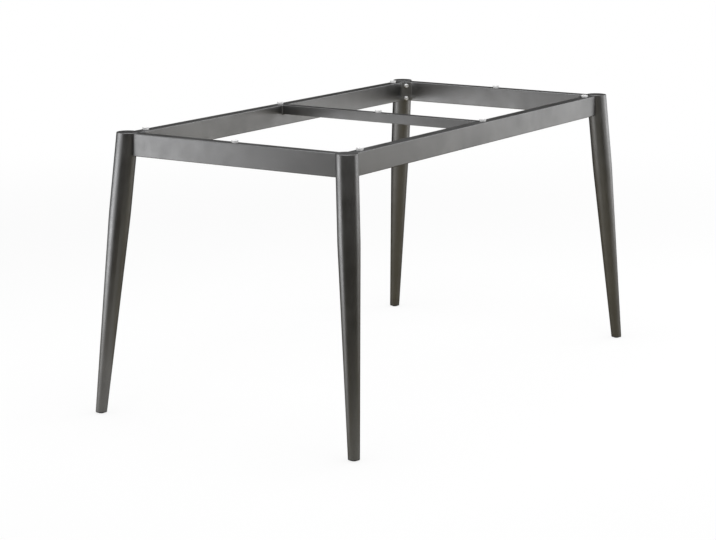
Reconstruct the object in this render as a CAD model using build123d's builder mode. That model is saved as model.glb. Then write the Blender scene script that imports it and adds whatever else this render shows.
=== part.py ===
"""A table frame: a welded rail frame with a cross rail, on four tapered, splayed legs.

X runs along the long side, Y along the short side, Z up. The origin is on the floor, at the
middle of the frame. Front is the -Y side and left is the -X side.
Each leg sits in a round seat cut through a rail corner. Two bolts through the corner plate pull
it into that seat.
"""

import os
from math import cos, radians, sin, sqrt, tan

from build123d import *

# Rail frame, outside sizes
frame_length = 1354.0
frame_width = 667.0
frame_height = 720.0
rail_height = 56.5
rail_width = 30.0
rail_wall = 2.0
rail_corner_radius = 2.0
tube_inner_corner_radius = 0.5

# Cross rail in the middle, level with the rail tops
cross_rail_height = 25.0
cross_rail_width = 25.0
cross_rail_wall = 1.5
cross_rail_corner_radius = 1.0

# Legs
leg_diameter = 55.0
leg_foot_diameter = 29.0
leg_wall = 2.0
leg_straight_length = 210.0
leg_taper_blend_radius = 1500.0
leg_tilt = 6.5
leg_inset = 9.0
leg_rise = 2.0
leg_seat_clearance = 0.1

# Caps that close the leg tops, a little above the rails
cap_thickness = 3.0
cap_edge_radius = 1.0

# Foot glides
glide_sole_diameter = 16.0
glide_sole_height = 3.0
glide_sole_radius = 1.0
glide_flange_thickness = 2.0
glide_core_diameter = 17.0
glide_plug_length = 22.0
glide_rib_count = 3
glide_rib_thickness = 1.6
glide_fit_clearance = 0.1

# Corner plates
plate_reach = 22.0
plate_thickness = 5.0
plate_edge_step = 1.5

# Bolts, washers and threaded bushes
bolt_diameter = 6.0
bolt_tip_stand_out = 0.6
bolt_head_diameter = 10.0
bolt_head_height = 6.0
bolt_socket_width = 5.0
bolt_socket_depth = 3.0
bolt_edge_chamfer = 0.6
bolt_hole_clearance = 0.3
bolt_gap_top = 3.0
bolt_gap_bottom = 0.5
thread_clearance = 0.05
flat_washer_diameter = 12.0
flat_washer_thickness = 1.6
spring_washer_diameter = 11.0
spring_washer_thickness = 1.6
spring_washer_gap = 1.2
bush_diameter = 10.0
bush_length = 14.0
bush_fit_clearance = 0.05

# Pads under the table top
pad_rim_diameter = 18.0
pad_base_diameter = 16.0
pad_height = 6.0
pad_rim_width = 1.5
pad_rim_height = 1.0
pad_dish_depth = 2.0
pad_flare_bow = 0.3
pad_stem_diameter = 5.0
pad_stem_tip_diameter = 2.5
pad_barb_diameter = 6.4
pad_barb_length = 4.0
pad_hole_clearance = 0.1
pad_end_distance = 75.0

# Sizes worked out from the ones above
glide_height = glide_sole_height + glide_flange_thickness
leg_radius = leg_diameter / 2
leg_foot_radius = leg_foot_diameter / 2
leg_seat_radius = leg_radius + leg_seat_clearance
cut_overrun = leg_radius
leg_slope = tan(radians(leg_tilt))
leg_top_height = frame_height + leg_rise
cap_height = leg_top_height - cap_thickness
leg_foot_along = -(frame_height - glide_height) / cos(radians(leg_tilt))
leg_taper = (leg_radius - leg_foot_radius) / (-leg_straight_length - leg_foot_along)
rail_line_x = frame_length / 2 - rail_width / 2
rail_line_y = frame_width / 2 - rail_width / 2
rail_middle_z = frame_height - rail_height / 2
bolt_edge_distance = plate_edge_step + flat_washer_diameter / 2
bolt_heights = (
    frame_height - bolt_edge_distance - bolt_gap_top,
    frame_height - rail_height + bolt_edge_distance + bolt_gap_bottom,
)
bolt_hole_radius = bolt_diameter / 2 + bolt_hole_clearance
corner_to_leg = (rail_width - leg_inset) * sqrt(2)
plate_face_to_leg = corner_to_leg + plate_reach / sqrt(2)
head_seat_to_leg = plate_face_to_leg + flat_washer_thickness + spring_washer_thickness
bush_edge_fall = leg_radius - sqrt(leg_radius**2 - (bush_diameter / 2) ** 2)
bush_sunk = bush_edge_fall + bush_diameter / 2 * leg_slope

CORNERS = {
    "front_left": (-1, -1),
    "front_right": (1, -1),
    "back_left": (-1, 1),
    "back_right": (1, 1),
}

UP = Vector(0, 0, 1)

# The largest share of a wall that a rounded edge may take
fillet_share = 0.8


def finish(builder, name):
    """Label a finished piece and write it to its own file."""
    builder.part.label = name
    export_step(builder.part, f"parts/{name}.step")


def outward(corner):
    """Level direction from the middle of the frame out along a corner's diagonal."""
    side_x, side_y = CORNERS[corner]
    return Vector(side_x, side_y, 0).normalized()


def leg_top(corner):
    """Where a leg's axis crosses the level of the rail tops."""
    side_x, side_y = CORNERS[corner]
    return Vector(
        side_x * (frame_length / 2 - leg_inset),
        side_y * (frame_width / 2 - leg_inset),
        frame_height,
    )


def leg_direction(corner):
    """Direction up a leg's axis, which leans inward to the top."""
    return UP * cos(radians(leg_tilt)) - outward(corner) * sin(radians(leg_tilt))


def leg_plane(corner, along=0.0):
    """Plane square to a leg's axis, a distance along it from the rail tops."""
    return Plane(
        origin=leg_top(corner) + leg_direction(corner) * along,
        x_dir=UP.cross(outward(corner)),
        z_dir=leg_direction(corner),
    )


def leg_profile_plane(corner):
    """Plane that holds a leg's axis: local x is the radius and local y runs up the leg."""
    across = UP.cross(outward(corner))
    return Plane(
        origin=leg_top(corner),
        x_dir=across,
        z_dir=across.cross(leg_direction(corner)),
    )


def leg_axis(corner):
    """A leg's own axis."""
    return Axis(leg_top(corner), leg_direction(corner))


def leg_centre(corner, height):
    """Point on a leg's axis at a height above the floor."""
    drop = frame_height - height
    return leg_top(corner) + outward(corner) * leg_slope * drop - UP * drop


def leg_radius_at(along):
    """Outside radius of the tapered stretch of a leg."""
    return leg_foot_radius + leg_taper * (along - leg_foot_along)


def inward_plane(corner, distance, height):
    """Upright plane that faces into the frame, a level distance in from a leg's top."""
    origin = leg_top(corner) - outward(corner) * distance
    return Plane(origin=(origin.X, origin.Y, height), x_dir=UP, z_dir=-outward(corner))


def bolt_planes(corner, distance):
    """Planes on a corner's two bolt axes, a level distance in from the leg's top."""
    return [inward_plane(corner, distance, height) for height in bolt_heights]


def bush_end_distance(height):
    """How far in from a leg's top a bush at this height ends, inside the leg."""
    surface = leg_radius / cos(radians(leg_tilt)) - leg_slope * (frame_height - height)
    return surface - bush_sunk - bush_length


def bush_planes(corner):
    """Planes at the ends of a corner's two bushes, which sit just under the leg's surface."""
    return [inward_plane(corner, bush_end_distance(height), height) for height in bolt_heights]


def pad_places():
    """Named points on the rail tops where the pads stand."""
    end = frame_length / 2 - pad_end_distance
    return {
        "front_left": Vector(-end, -rail_line_y, frame_height),
        "front_middle": Vector(0, -rail_line_y, frame_height),
        "front_right": Vector(end, -rail_line_y, frame_height),
        "back_left": Vector(-end, rail_line_y, frame_height),
        "back_middle": Vector(0, rail_line_y, frame_height),
        "back_right": Vector(end, rail_line_y, frame_height),
        "left": Vector(-rail_line_x, 0, frame_height),
        "right": Vector(rail_line_x, 0, frame_height),
        "centre": Vector(0, 0, frame_height),
    }


def tube_section(plane, width, height, wall, corner_radius):
    """Sketch of a hollow rectangular tube's section."""
    with BuildSketch(plane) as section:
        RectangleRounded(width, height, corner_radius)
        RectangleRounded(
            width - 2 * wall,
            height - 2 * wall,
            tube_inner_corner_radius,
            mode=Mode.SUBTRACT,
        )
    return section.sketch


def cut_leg_seat(corner):
    """Cut a leg's round seat and its two bolt holes out of the part being built."""
    with BuildSketch(leg_plane(corner, -rail_height - cut_overrun)) as seat:
        Circle(leg_seat_radius)
    extrude(seat.sketch, amount=rail_height + 2 * cut_overrun, mode=Mode.SUBTRACT)
    with BuildSketch(*bolt_planes(corner, 0)) as bolt_holes:
        Circle(bolt_hole_radius)
    extrude(bolt_holes.sketch, amount=plate_face_to_leg, mode=Mode.SUBTRACT)


def cut_pad_hole(place, wall):
    """Cut a pad's stem hole through the top wall of the part being built."""
    with BuildSketch(Plane(origin=place)) as hole:
        Circle(pad_stem_diameter / 2 + pad_hole_clearance)
    extrude(hole.sketch, amount=-2 * wall, mode=Mode.SUBTRACT)


def mitre_plane(corner):
    """Upright plane through a corner's inner and outer rail edges, facing the short rail."""
    side_x, side_y = CORNERS[corner]
    origin = Vector(side_x * frame_length / 2, side_y * frame_width / 2, frame_height)
    return Plane(origin=origin, x_dir=UP, z_dir=Vector(side_x, -side_y, 0).normalized())


os.makedirs("parts", exist_ok=True)
pads = pad_places()

# Long rails, mitred into the short rails and cut out for the legs
for side, side_y in {"front": -1, "back": 1}.items():
    rail_end = Plane(
        origin=(-frame_length / 2, side_y * rail_line_y, rail_middle_z),
        x_dir=(0, 1, 0),
        z_dir=(1, 0, 0),
    )
    with BuildPart() as long_rail:
        section = tube_section(rail_end, rail_width, rail_height, rail_wall, rail_corner_radius)
        extrude(section, amount=frame_length)
        for end in ("left", "right"):
            split(bisect_by=mitre_plane(f"{side}_{end}"), keep=Keep.BOTTOM)
            cut_leg_seat(f"{side}_{end}")
        for spot in ("left", "middle", "right"):
            cut_pad_hole(pads[f"{side}_{spot}"], rail_wall)
    finish(long_rail, f"long_rail_{side}")

# Short rails
for end, side_x in {"left": -1, "right": 1}.items():
    rail_end = Plane(
        origin=(side_x * rail_line_x, -frame_width / 2, rail_middle_z),
        x_dir=(-1, 0, 0),
        z_dir=(0, 1, 0),
    )
    with BuildPart() as short_rail:
        section = tube_section(rail_end, rail_width, rail_height, rail_wall, rail_corner_radius)
        extrude(section, amount=frame_width)
        for side in ("front", "back"):
            split(bisect_by=mitre_plane(f"{side}_{end}"), keep=Keep.TOP)
            cut_leg_seat(f"{side}_{end}")
        cut_pad_hole(pads[end], rail_wall)
    finish(short_rail, f"short_rail_{end}")

# Cross rail, cut square between the long rails' inner faces
cross_rail_length = frame_width - 2 * rail_width
rail_end = Plane(
    origin=(0, -cross_rail_length / 2, frame_height - cross_rail_height / 2),
    x_dir=(-1, 0, 0),
    z_dir=(0, 1, 0),
)
with BuildPart() as cross_rail:
    section = tube_section(
        rail_end, cross_rail_width, cross_rail_height, cross_rail_wall, cross_rail_corner_radius
    )
    extrude(section, amount=cross_rail_length)
    cut_pad_hole(pads["centre"], cross_rail_wall)
finish(cross_rail, "cross_rail")

# Corner plates, bevelled to lie against both rails
for corner, (side_x, side_y) in CORNERS.items():
    inner_x = side_x * (frame_length / 2 - rail_width)
    inner_y = side_y * (frame_width / 2 - rail_width)
    back_reach = plate_reach - plate_thickness * sqrt(2)
    with BuildPart() as corner_plate:
        with BuildSketch(Plane.XY.offset(frame_height - rail_height + plate_edge_step)):
            with BuildLine():
                Polyline(
                    (inner_x - side_x * plate_reach, inner_y),
                    (inner_x, inner_y - side_y * plate_reach),
                    (inner_x, inner_y - side_y * back_reach),
                    (inner_x - side_x * back_reach, inner_y),
                    close=True,
                )
            make_face()
        extrude(amount=rail_height - 2 * plate_edge_step)
        with BuildSketch(*bolt_planes(corner, 0)):
            Circle(bolt_hole_radius)
        extrude(amount=plate_face_to_leg + plate_thickness, mode=Mode.SUBTRACT)
    finish(corner_plate, f"corner_plate_{corner}")


def leg_outline(corner, inset):
    """Face from a leg's axis to its outline, or to a line a wall's thickness inside it."""
    top = cut_overrun
    bottom = leg_foot_along - cut_overrun
    with BuildSketch(leg_profile_plane(corner)) as outline:
        with BuildLine():
            Polyline(
                (0, top),
                (leg_radius - inset, top),
                (leg_radius - inset, -leg_straight_length),
                (leg_radius_at(bottom) - inset, bottom),
                (0, bottom),
                close=True,
            )
        make_face()
        fillet(outline.vertices().group_by(Axis.Y)[1], radius=leg_taper_blend_radius)
    return outline.sketch


# Leg tubes, cut level at both ends and drilled for the bushes
for corner in CORNERS:
    with BuildPart() as leg_tube:
        revolve(leg_outline(corner, 0), axis=leg_axis(corner))
        revolve(leg_outline(corner, leg_wall), axis=leg_axis(corner), mode=Mode.SUBTRACT)
        split(bisect_by=Plane.XY.offset(cap_height), keep=Keep.BOTTOM)
        split(bisect_by=Plane.XY.offset(glide_height), keep=Keep.TOP)
        with BuildSketch(*bush_planes(corner)):
            Circle(bush_diameter / 2 + bush_fit_clearance)
        extrude(amount=bush_length + cut_overrun, mode=Mode.SUBTRACT)
    finish(leg_tube, f"leg_tube_{corner}")

# Leg caps: level discs with the leg's own outline and a rounded top edge
for corner in CORNERS:
    with BuildPart() as leg_cap:
        with BuildSketch(leg_plane(corner, -cut_overrun)):
            Circle(leg_radius)
        extrude(amount=2 * cut_overrun)
        split(bisect_by=Plane.XY.offset(leg_top_height), keep=Keep.BOTTOM)
        split(bisect_by=Plane.XY.offset(cap_height), keep=Keep.TOP)
        top_edge = leg_cap.faces().sort_by(Axis.Z)[-1].edges()
        fillet(top_edge, radius=min(cap_edge_radius, cap_thickness * fillet_share))
    finish(leg_cap, f"leg_cap_{corner}")

# Foot glides: a ribbed plug in the leg, a flange under its rim and a rounded sole
glide_rib_pitch = glide_plug_length / (glide_rib_count + 1)
for corner in CORNERS:
    foot = leg_centre(corner, glide_height)
    with BuildPart() as foot_glide:
        with BuildSketch(leg_plane(corner, leg_foot_along - glide_core_diameter)):
            Circle(glide_core_diameter / 2)
        extrude(amount=glide_core_diameter + glide_plug_length)
        split(bisect_by=Plane.XY.offset(glide_height), keep=Keep.TOP)
        for rib in range(1, glide_rib_count + 1):
            along = leg_foot_along + rib * glide_rib_pitch
            with BuildSketch(leg_plane(corner, along)):
                Circle(leg_radius_at(along) - leg_wall - glide_fit_clearance)
            extrude(amount=glide_rib_thickness)
        with BuildSketch(Plane(origin=(foot.X, foot.Y, glide_sole_height))):
            Circle(leg_foot_radius)
        extrude(amount=glide_flange_thickness)
        with BuildSketch(Plane(origin=(foot.X, foot.Y, 0))):
            Circle(glide_sole_diameter / 2)
        extrude(amount=glide_sole_height)
        sole_edge = foot_glide.faces().sort_by(Axis.Z)[0].edges()
        fillet(sole_edge, radius=min(glide_sole_radius, glide_sole_height * fillet_share))
    finish(foot_glide, f"foot_glide_{corner}")


def all_bolt_planes(distance):
    """Planes on all the bolt axes, a level distance in from the legs' tops."""
    return [plane for corner in CORNERS for plane in bolt_planes(corner, distance)]


# Threaded bushes, welded into the leg walls
with BuildPart() as thread_bushes:
    with BuildSketch(*[plane for corner in CORNERS for plane in bush_planes(corner)]):
        Circle(bush_diameter / 2)
        Circle(bolt_diameter / 2 + thread_clearance, mode=Mode.SUBTRACT)
    extrude(amount=bush_length)
finish(thread_bushes, "thread_bushes")

# Flat washers on the corner plates
with BuildPart() as flat_washers:
    with BuildSketch(*all_bolt_planes(plate_face_to_leg)):
        Circle(flat_washer_diameter / 2)
        Circle(bolt_hole_radius, mode=Mode.SUBTRACT)
    extrude(amount=flat_washer_thickness)
finish(flat_washers, "flat_washers")

# Spring washers: split rings
with BuildPart() as spring_washers:
    with BuildSketch(*all_bolt_planes(plate_face_to_leg + flat_washer_thickness)):
        Circle(spring_washer_diameter / 2)
        Circle(bolt_hole_radius, mode=Mode.SUBTRACT)
        with Locations((spring_washer_diameter / 2, 0)):
            Rectangle(spring_washer_diameter, spring_washer_gap, mode=Mode.SUBTRACT)
    extrude(amount=spring_washer_thickness)
finish(spring_washers, "spring_washers")

# Socket-head bolts: one bolt along its own axis, then a copy on each bolt axis
with BuildPart() as single_bolt:
    with BuildSketch(Plane.XY):
        Circle(bolt_head_diameter / 2)
    extrude(amount=bolt_head_height)
    chamfer(single_bolt.faces().sort_by(Axis.Z)[-1].edges(), length=bolt_edge_chamfer)
    with BuildSketch(Plane.XY.offset(bolt_head_height)):
        RegularPolygon(bolt_socket_width / 2, side_count=6, major_radius=False)
    extrude(amount=-bolt_socket_depth, mode=Mode.SUBTRACT)
    with BuildSketch(Plane.XY):
        Circle(bolt_diameter / 2)
    extrude(amount=bush_end_distance(bolt_heights[0]) - head_seat_to_leg - bolt_tip_stand_out)
    chamfer(single_bolt.faces().sort_by(Axis.Z)[0].edges(), length=bolt_edge_chamfer)
with BuildPart() as leg_bolts:
    with Locations(*all_bolt_planes(head_seat_to_leg)):
        add(single_bolt.part)
finish(leg_bolts, "leg_bolts")


def pad_profile(place, wall):
    """Half section of a pad: a dished cup on a barbed stem that passes through a rail's top wall."""
    barb_top = -wall - pad_hole_clearance
    rim = pad_rim_diameter / 2
    dish = rim - pad_rim_width
    with BuildSketch(Plane(origin=place, x_dir=(1, 0, 0), z_dir=(0, -1, 0))) as profile:
        with BuildLine():
            Polyline(
                (0, pad_height - pad_dish_depth),
                (0, barb_top - pad_barb_length),
                (pad_stem_tip_diameter / 2, barb_top - pad_barb_length),
                (pad_barb_diameter / 2, barb_top),
                (pad_stem_diameter / 2, barb_top),
                (pad_stem_diameter / 2, 0),
                (pad_base_diameter / 2, 0),
            )
            flare_start = Vector(pad_base_diameter / 2, 0)
            flare_end = Vector(rim, pad_height - pad_rim_height)
            flare_bend = (flare_start + flare_end) / 2 + Vector(1, -1).normalized() * pad_flare_bow
            ThreePointArc(flare_start, flare_bend, flare_end)
            Polyline(flare_end, (rim, pad_height), (dish, pad_height))
            TangentArc((0, pad_height - pad_dish_depth), (dish, pad_height), tangent=(1, 0))
        make_face()
    return profile.sketch


# Pads for the table top, one on each marked place
for spot, place in pads.items():
    top_wall = cross_rail_wall if spot == "centre" else rail_wall
    with BuildPart() as top_pad:
        revolve(pad_profile(place, top_wall), axis=Axis(place, UP))
    finish(top_pad, f"top_pad_{spot}")
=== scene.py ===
"""Looks of the table frame: finishes, weld seams, studio floor, light and camera.

Lengths are in metres and angles in degrees, unless a name says otherwise, in the frame of the
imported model: X along the long side, Y along the short side, Z up, with the origin on the floor at
the middle of the table frame. A turn is an angle round the origin, seen from above: 0 is the
camera's side, and positive turns go to the picture's right.
"""

from math import cos, pi, radians, sin

import bmesh
import bpy
from mathutils import Matrix, Vector


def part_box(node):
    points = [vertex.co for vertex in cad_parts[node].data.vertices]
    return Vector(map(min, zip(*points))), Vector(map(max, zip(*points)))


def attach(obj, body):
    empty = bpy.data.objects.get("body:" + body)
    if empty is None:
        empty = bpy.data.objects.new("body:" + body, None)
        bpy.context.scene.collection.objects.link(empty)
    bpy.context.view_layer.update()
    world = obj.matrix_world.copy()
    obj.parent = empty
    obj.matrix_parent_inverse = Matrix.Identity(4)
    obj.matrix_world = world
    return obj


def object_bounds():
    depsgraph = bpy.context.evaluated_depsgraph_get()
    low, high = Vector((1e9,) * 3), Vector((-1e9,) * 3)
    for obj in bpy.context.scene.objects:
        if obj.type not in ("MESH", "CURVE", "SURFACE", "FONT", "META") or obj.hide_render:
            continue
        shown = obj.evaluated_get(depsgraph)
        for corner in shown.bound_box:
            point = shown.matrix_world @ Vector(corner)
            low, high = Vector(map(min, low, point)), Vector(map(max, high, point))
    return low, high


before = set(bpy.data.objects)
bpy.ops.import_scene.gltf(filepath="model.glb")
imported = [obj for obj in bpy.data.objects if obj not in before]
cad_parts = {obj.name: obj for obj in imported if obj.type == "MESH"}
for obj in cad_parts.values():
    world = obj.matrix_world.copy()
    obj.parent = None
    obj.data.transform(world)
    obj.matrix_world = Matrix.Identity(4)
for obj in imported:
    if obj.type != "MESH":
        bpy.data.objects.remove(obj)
cad_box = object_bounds()

# Camera, fitted to the rails, legs and feet in the photograph
picture_width_pixels = 716
focal_length_pixels = 2052.4
sensor_width_mm = 36.0
camera_azimuth = -57.888
camera_elevation = 11.947
camera_roll = 0.152
camera_place = Vector((-4.6670, -2.8657, 1.4465))

# Surround: the backdrop looks white, and lights the object more gently than it looks
white = (1.0, 1.0, 1.0, 1.0)
backdrop_strength = 1.0
world_light_strength = 0.6

# Floor: paper whose share of white glow grows from the near radius to the far one
floor_reach = 60.0
floor_colour = (0.92, 0.92, 0.92, 1.0)
floor_glow_radii = (1.6, 4.5)
floor_glow_shares = (0.8, 1.0)

# Felt of the cards that only reflections see
felt_roughness = 1.0
felt_gloss = 0.0

# Dark standing cards, curved round the origin: turn of the middle, half spread, foot and top
standing_card_colour = (0.040, 0.035, 0.026, 1.0)
standing_card_radius = 2.0
standing_card_steps = 32
standing_cards = {
    "front_card": (9.0, 59.0, 0.0, 1.1),
    "back_card": (186.0, 36.0, 0.0, 2.4),
    "left_card": (240.0, 18.0, 0.35, 2.0),
}

# Round cards on the floor: turn, distance, radius, lift and colour
floor_card_steps = 128
floor_cards = {
    "wide_floor_card": (92.0, 2.4, 4.5, 0.001, (0.25, 0.22, 0.15, 1.0)),
    "left_floor_card": (-52.0, 1.0, 0.55, 0.002, (0.58, 0.56, 0.52, 1.0)),
    "near_floor_card": (8.0, 1.25, 0.5, 0.003, (0.48, 0.46, 0.40, 1.0)),
}

# Soft boxes: turn, distance, height, width, length and radiance
soft_boxes = {
    "left_soft_box": (-80.0, 3.2, 0.3, 1.7, 0.6, 3.2),
    "right_soft_box": (118.0, 2.5, 0.7, 0.7, 1.4, 2.0),
    "far_soft_box": (99.0, 6.0, 1.2, 1.6, 2.6, 2.2),
    "back_soft_box": (138.0, 4.5, 1.0, 1.0, 2.4, 2.4),
}

# Broad light overhead
top_light_place = Vector((-0.3, -0.2, 3.4))
top_light_size = 2.6
top_light_radiance = 3.2

# Noise in the finishes: the middle range that most of it fills, and two levels of detail
noise_middle = (0.3, 0.7)
plain_detail = 2.0
cloudy_detail = 3.0

# Powder coat; here and below a grain is a length, and a relief is a strength and a depth
coat_metallic = 0.97
coat_edge_tint = (0.4, 0.4, 0.4, 1.0)
coat_shade_grain = 0.09
coat_shades = ((0.188, 0.189, 0.192), (0.219, 0.220, 0.222))
coat_gloss_grain = 0.035
coat_roughness = (0.33, 0.41)
coat_flake_grain = 0.00035
coat_flake_tints = (0.9, 1.1)
coat_flake_relief = (0.1, 0.00001)
coat_peel_grain = 0.0011
coat_peel_relief = (0.35, 0.00005)

# Zinc-plated steel
steel_metallic = 1.0
steel_shade_grain = 0.004
steel_shades = ((0.80, 0.81, 0.83), (0.92, 0.92, 0.91))
steel_gloss_grain = 0.0015
steel_roughness = (0.45, 0.58)
steel_relief_grain = 0.0005
steel_relief = (0.2, 0.00003)

# Moulded black plastic
plastic_shade_grain = 0.003
plastic_shades = ((0.014, 0.014, 0.014), (0.026, 0.026, 0.026))
plastic_gloss_grain = 0.002
plastic_roughness = (0.42, 0.55)
plastic_relief_grain = 0.0004
plastic_relief = (0.3, 0.00004)

# Clear soft plastic
pad_ior = 1.45
pad_transmission = 0.15
pad_shade_grain = 0.003
pad_shades = ((0.94, 0.94, 0.94), (0.99, 0.99, 0.99))
pad_gloss_grain = 0.0025
pad_roughness = (0.08, 0.2)
pad_relief_grain = 0.0012
pad_relief = (0.15, 0.00005)

# Weld seams; the bow of the bead's face and the depth of its ripples are shares of its leg
seam_leg = 0.0028
seam_bow = 0.175
seam_sink = 0.0003
seam_profile_steps = 6
seam_ripple_pitch = 0.0024
seam_ripple_depth = 0.07
seam_rings_per_ripple = 6
seam_fewest_ripples = 2
seam_end_taper = 0.0015


def camera_axes():
    """Right, up and back directions of the camera."""
    turn = radians(camera_azimuth)
    rise = radians(camera_elevation)
    roll = radians(camera_roll)
    back = Vector((sin(turn) * cos(rise), -cos(turn) * cos(rise), sin(rise)))
    level_right = (-back).cross(Vector((0, 0, 1))).normalized()
    level_up = level_right.cross(-back)
    right = level_right * cos(roll) + level_up * sin(roll)
    up = level_up * cos(roll) - level_right * sin(roll)
    return right, up, back


def add_camera():
    """The camera at the photograph's place and angle, which sees to the end of the floor."""
    data = bpy.data.cameras.new("photo_camera")
    data.sensor_width = sensor_width_mm
    data.lens = focal_length_pixels * sensor_width_mm / picture_width_pixels
    data.clip_end = 2 * floor_reach
    camera = bpy.data.objects.new("photo_camera", data)
    right, up, back = camera_axes()
    turn = Matrix((right, up, back)).transposed()
    camera.matrix_world = Matrix.Translation(camera_place) @ turn.to_4x4()
    bpy.context.scene.collection.objects.link(camera)
    bpy.context.scene.camera = camera


def place_round(turn, distance, height):
    """Place at this turn and level distance from the origin, and at this height."""
    angle = radians(camera_azimuth + turn)
    return Vector((sin(angle), -cos(angle), 0)) * distance + Vector((0, 0, height))


def add_object(name, build):
    """New mesh object whose mesh is filled in by build(bm)."""
    mesh = bpy.data.meshes.new(name)
    bm = bmesh.new()
    build(bm)
    bm.to_mesh(mesh)
    bm.free()
    obj = bpy.data.objects.new(name, mesh)
    bpy.context.scene.collection.objects.link(obj)
    return obj


def bare_tree(owner):
    """Empty node tree of a world or a material."""
    owner.use_nodes = True
    owner.node_tree.nodes.clear()
    return owner.node_tree


def new_material(name):
    """A material, and the bare shader in its node tree."""
    material = bpy.data.materials.new(name)
    tree = bare_tree(material)
    output = tree.nodes.new("ShaderNodeOutputMaterial")
    shader = tree.nodes.new("ShaderNodeBsdfPrincipled")
    tree.links.new(shader.outputs["BSDF"], output.inputs["Surface"])
    return material, shader


def white_shader(tree, kind, strength):
    """A white shader node of this kind and strength."""
    node = tree.nodes.new(kind)
    node.inputs["Color"].default_value = white
    node.inputs["Strength"].default_value = strength
    return node


def mixed(tree, share, first, second):
    """The first shader with this share of the second."""
    node = tree.nodes.new("ShaderNodeMixShader")
    tree.links.new(share, node.inputs["Fac"])
    tree.links.new(first.outputs[0], node.inputs[1])
    tree.links.new(second.outputs[0], node.inputs[2])
    return node.outputs[0]


def combined(tree, operation, first, second):
    """One value worked out from two."""
    node = tree.nodes.new("ShaderNodeMath")
    node.operation = operation
    tree.links.new(first, node.inputs[0])
    tree.links.new(second, node.inputs[1])
    return node.outputs[0]


def spread(tree, value, limits, new_limits, interpolation="LINEAR"):
    """A value between two limits, stretched to lie between two others."""
    node = tree.nodes.new("ShaderNodeMapRange")
    node.interpolation_type = interpolation
    node.inputs["From Min"].default_value = limits[0]
    node.inputs["From Max"].default_value = limits[1]
    node.inputs["To Min"].default_value = new_limits[0]
    node.inputs["To Max"].default_value = new_limits[1]
    tree.links.new(value, node.inputs["Value"])
    return node.outputs["Result"]


def seen_rays(tree):
    """Factor that is 1 for rays from the camera, off gloss and through clear pieces."""
    path = tree.nodes.new("ShaderNodeLightPath")
    seen = path.outputs["Is Camera Ray"]
    for kind in ("Is Glossy Ray", "Is Transmission Ray"):
        seen = combined(tree, "MAXIMUM", seen, path.outputs[kind])
    return seen


def add_world():
    """A white surround that lights the object gently."""
    world = bpy.data.worlds.new("studio")
    bpy.context.scene.world = world
    tree = bare_tree(world)
    light = white_shader(tree, "ShaderNodeBackground", world_light_strength)
    backdrop = white_shader(tree, "ShaderNodeBackground", backdrop_strength)
    output = tree.nodes.new("ShaderNodeOutputWorld")
    tree.links.new(mixed(tree, seen_rays(tree), light, backdrop), output.inputs["Surface"])


def floor_material():
    """White paper that keeps the object's shadow near it and goes over into the white surround."""
    material = bpy.data.materials.new("white_floor")
    tree = bare_tree(material)
    paper = tree.nodes.new("ShaderNodeBsdfDiffuse")
    paper.inputs["Color"].default_value = floor_colour
    glow = white_shader(tree, "ShaderNodeEmission", backdrop_strength)
    place = tree.nodes.new("ShaderNodeNewGeometry")
    distance = tree.nodes.new("ShaderNodeVectorMath")
    distance.operation = "LENGTH"
    tree.links.new(place.outputs["Position"], distance.inputs[0])
    radius = distance.outputs["Value"]
    fade = spread(tree, radius, floor_glow_radii, floor_glow_shares, "SMOOTHSTEP")
    share = combined(tree, "MULTIPLY", seen_rays(tree), fade)
    output = tree.nodes.new("ShaderNodeOutputMaterial")
    tree.links.new(mixed(tree, share, paper, glow), output.inputs["Surface"])
    return material


def add_floor():
    """A wide level floor under the feet."""

    def build(bm):
        bmesh.ops.create_grid(bm, x_segments=1, y_segments=1, size=floor_reach)

    floor = add_object("floor", build)
    floor.data.materials.append(floor_material())


def dress_card(card, colour):
    """Give a card a felt of this colour, and let only reflections see it."""
    felt, shader = new_material(f"{card.name}_felt")
    shader.inputs["Base Color"].default_value = colour
    shader.inputs["Roughness"].default_value = felt_roughness
    shader.inputs["Specular IOR Level"].default_value = felt_gloss
    card.data.materials.append(felt)
    card.visible_camera = False
    card.visible_diffuse = False
    card.visible_transmission = False
    card.visible_shadow = False


def add_floor_card(name, turn, distance, radius, lift, colour):
    """A round card that lies on the floor."""

    def build(bm):
        bmesh.ops.create_circle(bm, cap_ends=True, segments=floor_card_steps, radius=radius)
        bmesh.ops.translate(bm, verts=bm.verts, vec=place_round(turn, distance, lift))

    dress_card(add_object(name, build), colour)


def add_standing_card(name, middle_turn, half_spread, foot, top):
    """A curved dark card that stands round one side of the object."""

    def build(bm):
        rows = []
        for step in range(standing_card_steps + 1):
            turn = middle_turn - half_spread + 2 * half_spread * step / standing_card_steps
            low = bm.verts.new(place_round(turn, standing_card_radius, foot))
            high = bm.verts.new(place_round(turn, standing_card_radius, top))
            rows.append((low, high))
        for (low, high), (next_low, next_high) in zip(rows, rows[1:]):
            bm.faces.new((low, next_low, next_high, high))

    dress_card(add_object(name, build), standing_card_colour)


def add_area_light(name, place, aim, width, length, radiance):
    """A soft rectangular light of an even radiance, which the camera doesn't see."""
    data = bpy.data.lights.new(name, "AREA")
    data.shape = "RECTANGLE"
    data.size = width
    data.size_y = length
    # The power of an even light is pi times its radiance times its area
    data.energy = radiance * pi * width * length
    light = bpy.data.objects.new(name, data)
    light.location = place
    light.rotation_euler = (aim - place).to_track_quat("-Z", "Y").to_euler()
    light.visible_camera = False
    bpy.context.scene.collection.objects.link(light)


def add_lights():
    """One broad light overhead and soft boxes round the object, all aimed at its middle."""
    middle = Vector((0, 0, (cad_box[0].z + cad_box[1].z) / 2))
    add_area_light(
        "top_light", top_light_place, middle, top_light_size, top_light_size, top_light_radiance
    )
    for name, (turn, distance, height, width, length, radiance) in soft_boxes.items():
        place = place_round(turn, distance, height)
        add_area_light(name, place, middle, width, length, radiance)


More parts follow.
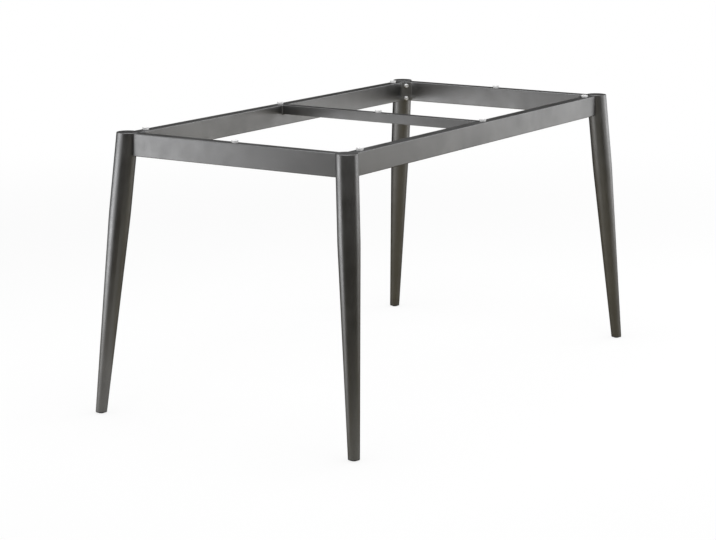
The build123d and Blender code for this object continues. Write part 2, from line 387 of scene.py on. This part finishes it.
def texture_node(tree, kind, grain):
    """A texture of this kind on the object, whose grains are about this long."""
    place = tree.nodes.new("ShaderNodeTexCoord")
    texture = tree.nodes.new(kind)
    texture.inputs["Scale"].default_value = 1.0 / grain
    tree.links.new(place.outputs["Object"], texture.inputs["Vector"])
    return texture


def noise(tree, grain, detail):
    """Smooth noise, mostly in its middle range."""
    texture = texture_node(tree, "ShaderNodeTexNoise", grain)
    texture.inputs["Detail"].default_value = detail
    return texture.outputs["Fac"]


def flakes(tree, grain):
    """A random even value from 0 to 1 in each small cell."""
    texture = texture_node(tree, "ShaderNodeTexVoronoi", grain)
    split = tree.nodes.new("ShaderNodeSeparateColor")
    tree.links.new(texture.outputs["Color"], split.inputs["Color"])
    return split.outputs["Red"]


def shaded(tree, value, shades):
    """Colours from the dark shade to the light one, by the value's middle range."""
    node = tree.nodes.new("ShaderNodeValToRGB")
    for element, position, shade in zip(node.color_ramp.elements, noise_middle, shades):
        element.position = position
        element.color = (*shade, 1.0)
    tree.links.new(value, node.inputs["Fac"])
    return node.outputs["Color"]


def tinted(tree, colour, value, tints):
    """The colour made darker and lighter by the value's middle range."""
    node = tree.nodes.new("ShaderNodeVectorMath")
    node.operation = "SCALE"
    tree.links.new(colour, node.inputs[0])
    tree.links.new(spread(tree, value, noise_middle, tints), node.inputs["Scale"])
    return node.outputs["Vector"]


def bump(tree, height, strength, depth, under=None):
    """A bump of this strength and depth, on top of another one if given."""
    node = tree.nodes.new("ShaderNodeBump")
    node.inputs["Strength"].default_value = strength
    node.inputs["Distance"].default_value = depth
    tree.links.new(height, node.inputs["Height"])
    if under is not None:
        tree.links.new(under, node.inputs["Normal"])
    return node.outputs["Normal"]


def link_surface(tree, shader, colour, roughness, relief):
    """Let these drive the shader's colour, roughness and relief."""
    tree.links.new(colour, shader.inputs["Base Color"])
    tree.links.new(roughness, shader.inputs["Roughness"])
    tree.links.new(relief, shader.inputs["Normal"])


def powder_coat():
    """Satin anthracite powder coat with metal flake and a fine orange peel."""
    material, shader = new_material("anthracite_powder_coat")
    tree = material.node_tree
    shader.inputs["Metallic"].default_value = coat_metallic
    shader.inputs["Specular Tint"].default_value = coat_edge_tint
    clouds = shaded(tree, noise(tree, coat_shade_grain, cloudy_detail), coat_shades)
    colour = tinted(tree, clouds, flakes(tree, coat_flake_grain), coat_flake_tints)
    gloss = noise(tree, coat_gloss_grain, cloudy_detail)
    roughness = spread(tree, gloss, noise_middle, coat_roughness)
    peel = bump(tree, noise(tree, coat_peel_grain, plain_detail), *coat_peel_relief)
    relief = bump(tree, flakes(tree, coat_flake_grain), *coat_flake_relief, peel)
    link_surface(tree, shader, colour, roughness, relief)
    return material


def bright_steel():
    """Zinc-plated steel with a faint cloudy sheen."""
    material, shader = new_material("zinc_plated_steel")
    tree = material.node_tree
    shader.inputs["Metallic"].default_value = steel_metallic
    colour = shaded(tree, noise(tree, steel_shade_grain, cloudy_detail), steel_shades)
    gloss = noise(tree, steel_gloss_grain, plain_detail)
    roughness = spread(tree, gloss, noise_middle, steel_roughness)
    relief = bump(tree, noise(tree, steel_relief_grain, cloudy_detail), *steel_relief)
    link_surface(tree, shader, colour, roughness, relief)
    return material


def black_plastic():
    """Moulded black plastic with a fine matt grain."""
    material, shader = new_material("moulded_black_plastic")
    tree = material.node_tree
    colour = shaded(tree, noise(tree, plastic_shade_grain, cloudy_detail), plastic_shades)
    gloss = noise(tree, plastic_gloss_grain, plain_detail)
    roughness = spread(tree, gloss, noise_middle, plastic_roughness)
    relief = bump(tree, noise(tree, plastic_relief_grain, plain_detail), *plastic_relief)
    link_surface(tree, shader, colour, roughness, relief)
    return material


def clear_pad():
    """Clear soft plastic, slightly milky."""
    material, shader = new_material("clear_soft_plastic")
    tree = material.node_tree
    shader.inputs["IOR"].default_value = pad_ior
    shader.inputs["Transmission Weight"].default_value = pad_transmission
    colour = shaded(tree, noise(tree, pad_shade_grain, cloudy_detail), pad_shades)
    gloss = noise(tree, pad_gloss_grain, plain_detail)
    roughness = spread(tree, gloss, noise_middle, pad_roughness)
    relief = bump(tree, noise(tree, pad_relief_grain, plain_detail), *pad_relief)
    link_surface(tree, shader, colour, roughness, relief)
    return material


def dress_nodes(finish_of_slot):
    """Give every solid the finish of its material slot."""
    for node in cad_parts.values():
        slot = node.data.materials[0].name
        node.data.materials[0] = finish_of_slot[slot]


def add_seam(bm, start, end, wall_a, wall_b):
    """A rippled weld bead from start to end, in a corner; the walls are directions out of it."""
    length = (end - start).length
    along = (end - start).normalized()
    outward = (wall_a + wall_b).normalized()
    ripples = max(seam_fewest_ripples, round(length / seam_ripple_pitch))
    count = ripples * seam_rings_per_ripple
    rings = []
    for step in range(count + 1):
        travel = length * step / count
        wave = (1 + cos(2 * pi * step / seam_rings_per_ripple)) / 2
        ripple = 1 - seam_ripple_depth * wave
        taper = min(1.0, (min(travel, length - travel) + seam_sink) / seam_end_taper)
        leg = seam_leg * ripple * taper
        corner = start + along * travel - outward * seam_sink
        ring = [bm.verts.new(corner)]
        for point in range(seam_profile_steps + 1):
            share = point / seam_profile_steps
            chord = wall_a * (1 - share) + wall_b * share
            # A parabola over the chord, fullest in its middle
            bow = outward * seam_bow * 4 * share * (1 - share)
            ring.append(bm.verts.new(corner + (chord + bow) * leg))
        rings.append(ring)
    for ring, following in zip(rings, rings[1:]):
        for point in range(len(ring)):
            after = (point + 1) % len(ring)
            bm.faces.new((ring[point], following[point], following[after], ring[after]))
    bm.faces.new(rings[0])
    bm.faces.new(reversed(rings[-1]))


def add_seam_piece(name, seams, finish):
    """One piece that holds several weld beads."""

    def build(bm):
        for seam in seams:
            add_seam(bm, *seam)
        bmesh.ops.recalc_face_normals(bm, faces=bm.faces)
        for face in bm.faces:
            face.smooth = True

    piece = add_object(name, build)
    piece.data.materials.append(finish)
    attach(piece, "root")


def upright(x, y, bottom, top):
    """Start and end of an upright seam."""
    return Vector((x, y, bottom)), Vector((x, y, top))


def add_corner_welds(finish):
    """Beads where the corner plates meet the rails."""
    for side_y, out_y in (("front", -1), ("back", 1)):
        for side_x, out_x in (("left", -1), ("right", 1)):
            low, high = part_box(f"corner_plate_{side_y}_{side_x}")
            rail_x, tip_x = (high.x, low.x) if out_x > 0 else (low.x, high.x)
            rail_y, tip_y = (high.y, low.y) if out_y > 0 else (low.y, high.y)
            along_long_rail = Vector((-out_x, 0, 0))
            along_short_rail = Vector((0, -out_y, 0))
            along_plate = Vector((out_x, -out_y, 0)).normalized()
            seams = [
                (*upright(tip_x, rail_y, low.z, high.z), along_long_rail, along_plate),
                (*upright(rail_x, tip_y, low.z, high.z), along_short_rail, -along_plate),
            ]
            add_seam_piece(f"corner_weld_{side_y}_{side_x}", seams, finish)


def add_cross_rail_welds(finish):
    """Beads at the sides and under the ends of the cross rail, where it meets the long rails."""
    low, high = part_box("cross_rail")
    down = Vector((0, 0, -1))
    for side_y, wall_y, inward in (("front", low.y, 1), ("back", high.y, -1)):
        along_cross_rail = Vector((0, inward, 0))
        seams = []
        for wall_x, out_x in ((low.x, -1), (high.x, 1)):
            along_long_rail = Vector((out_x, 0, 0))
            line = upright(wall_x, wall_y, low.z, high.z)
            seams.append((*line, along_long_rail, along_cross_rail))
        start = Vector((low.x, wall_y, low.z))
        end = Vector((high.x, wall_y, low.z))
        seams.append((start, end, down, along_cross_rail))
        add_seam_piece(f"cross_rail_weld_{side_y}", seams, finish)


bpy.context.scene.view_settings.view_transform = "Standard"
add_camera()
add_world()
add_floor()
for card_name, card_values in floor_cards.items():
    add_floor_card(card_name, *card_values)
for card_name, card_values in standing_cards.items():
    add_standing_card(card_name, *card_values)
add_lights()

finishes = {
    "frame_coat": powder_coat(),
    "bright_steel": bright_steel(),
    "black_plastic": black_plastic(),
    "clear_pad": clear_pad(),
}
dress_nodes(finishes)
add_corner_welds(finishes["frame_coat"])
add_cross_rail_welds(finishes["frame_coat"])
